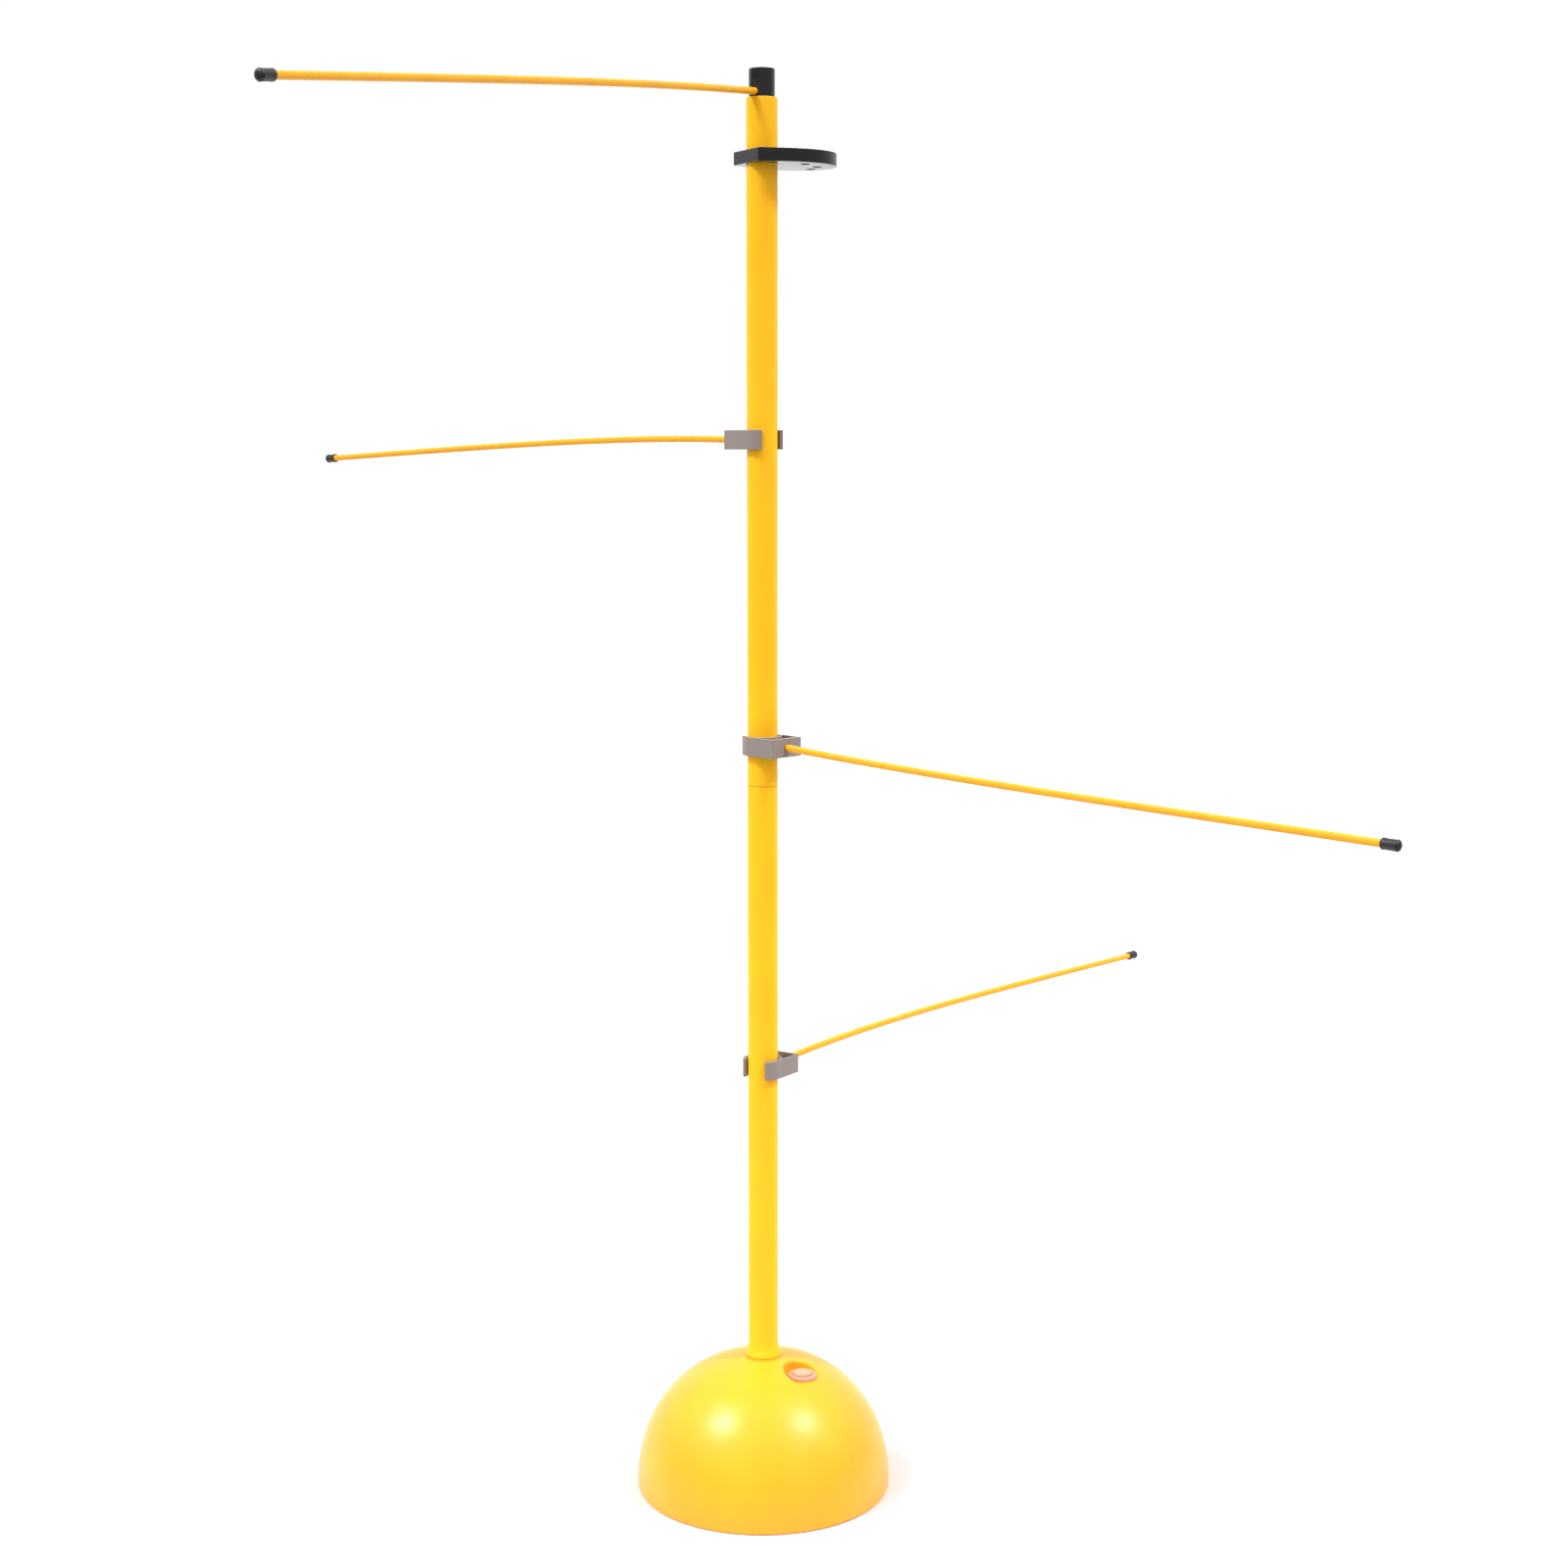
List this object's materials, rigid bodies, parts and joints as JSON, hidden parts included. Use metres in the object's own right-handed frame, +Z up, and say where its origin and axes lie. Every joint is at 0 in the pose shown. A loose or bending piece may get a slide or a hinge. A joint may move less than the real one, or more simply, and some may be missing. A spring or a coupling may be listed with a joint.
{
  "type": "ball-handling training stand",
  "caption": "Free-standing dribbling training stand: sand-filled dome base, pole in two parts, swivelling bowed reach arms on spring clips, and a plate that stores them.",
  "frame": {"origin": "centre of the base's flat underside, on the pole's centre line", "axes": "+Z runs up the pole; +X is to the right and +Y away from someone who faces the stand with the filler plug at the front right"},
  "size_m": [1.0726, 1.2441, 1.5018],
  "materials": {
    "pole_yellow": "satin",
    "base_yellow": "satin",
    "rod_yellow": "satin",
    "black_plastic": "satin",
    "cap_rubber": "satin",
    "clip_taupe": "satin",
    "bung_salmon": "satin",
    "sand_tan": "matte",
    "liner_grey": "matte"
  },
  "bodies": {
    "base": {"base_shell": "base_yellow", "sand_ballast": "sand_tan"},
    "filler_plug": {"filler_plug": "bung_salmon"},
    "lower_pole": {"lower_pole": "pole_yellow", "pole_coupler": "liner_grey"},
    "upper_pole": {"upper_pole": "pole_yellow"},
    "top_plug": {"top_plug": "black_plastic"},
    "storage_plate": {"storage_plate": "black_plastic"},
    "arm_1": {"rod_1": "rod_yellow", "rod_cap_1": "cap_rubber"},
    "clip_slider_2": {"clip_liner_2": "liner_grey"},
    "clip_2": {"arm_clip_2": "clip_taupe"},
    "arm_2": {"rod_2": "rod_yellow", "rod_cap_2": "cap_rubber"},
    "clip_slider_3": {"clip_liner_3": "liner_grey"},
    "clip_3": {"arm_clip_3": "clip_taupe"},
    "arm_3": {"rod_3": "rod_yellow", "rod_cap_3": "cap_rubber"},
    "clip_slider_4": {"clip_liner_4": "liner_grey"},
    "clip_4": {"arm_clip_4": "clip_taupe"},
    "arm_4": {"rod_4": "rod_yellow", "rod_cap_4": "cap_rubber"}
  },
  "joints": [
    {"name": "filler_plug_pull", "type": "slide", "parent": "base", "child": "filler_plug", "axis": [0, 0, 1], "range_m": [0, 0.018]},
    {"name": "pole_lift", "type": "slide", "parent": "base", "child": "lower_pole", "axis": [0, 0, 1], "range_m": [0, 0.13]},
    {"name": "upper_pole_lift", "type": "slide", "parent": "lower_pole", "child": "upper_pole", "axis": [0, 0, 1], "range_m": [0, 0.06]},
    {"name": "top_plug_swivel", "type": "hinge", "parent": "upper_pole", "child": "top_plug", "pos_m": [0, 0, 1.4728], "axis": [0, 0, 1], "continuous": true},
    {"name": "storage_plate_swivel", "type": "hinge", "parent": "upper_pole", "child": "storage_plate", "pos_m": [0, 0, 1.414], "axis": [0, 0, 1], "continuous": true},
    {"name": "arm_1_turn", "type": "hinge", "parent": "top_plug", "child": "arm_1", "pos_m": [0, 0, 1.47903], "axis": [-0.5693, -0.8191, -0.0713], "continuous": true},
    {"name": "clip_2_slide", "type": "slide", "parent": "upper_pole", "child": "clip_slider_2", "axis": [0, 0, 1], "range_m": [-0.1, 0.24]},
    {"name": "clip_2_swivel", "type": "hinge", "parent": "clip_slider_2", "child": "clip_2", "pos_m": [0, 0, 1.1294], "axis": [0, 0, 1], "continuous": true},
    {"name": "arm_2_turn", "type": "hinge", "parent": "clip_2", "child": "arm_2", "pos_m": [0, 0, 1.12892], "axis": [-0.665, 0.7464, 0.0239], "continuous": true},
    {"name": "clip_3_slide", "type": "slide", "parent": "upper_pole", "child": "clip_slider_3", "axis": [0, 0, 1], "range_m": [-0.03, 0.12]},
    {"name": "clip_3_swivel", "type": "hinge", "parent": "clip_slider_3", "child": "clip_3", "pos_m": [0, 0, 0.8129], "axis": [0, 0, 1], "continuous": true},
    {"name": "arm_3_turn", "type": "hinge", "parent": "clip_3", "child": "arm_3", "pos_m": [0, 0, 0.81398], "axis": [0.7073, -0.7048, -0.0539], "continuous": true},
    {"name": "clip_4_slide", "type": "slide", "parent": "lower_pole", "child": "clip_slider_4", "axis": [0, 0, 1], "range_m": [-0.25, 0.2]},
    {"name": "clip_4_swivel", "type": "hinge", "parent": "clip_slider_4", "child": "clip_4", "pos_m": [0, 0, 0.4647], "axis": [0, 0, 1], "continuous": true},
    {"name": "arm_4_turn", "type": "hinge", "parent": "clip_4", "child": "arm_4", "pos_m": [0, 0, 0.46393], "axis": [0.5859, 0.8094, 0.0386], "continuous": true}
  ]
}
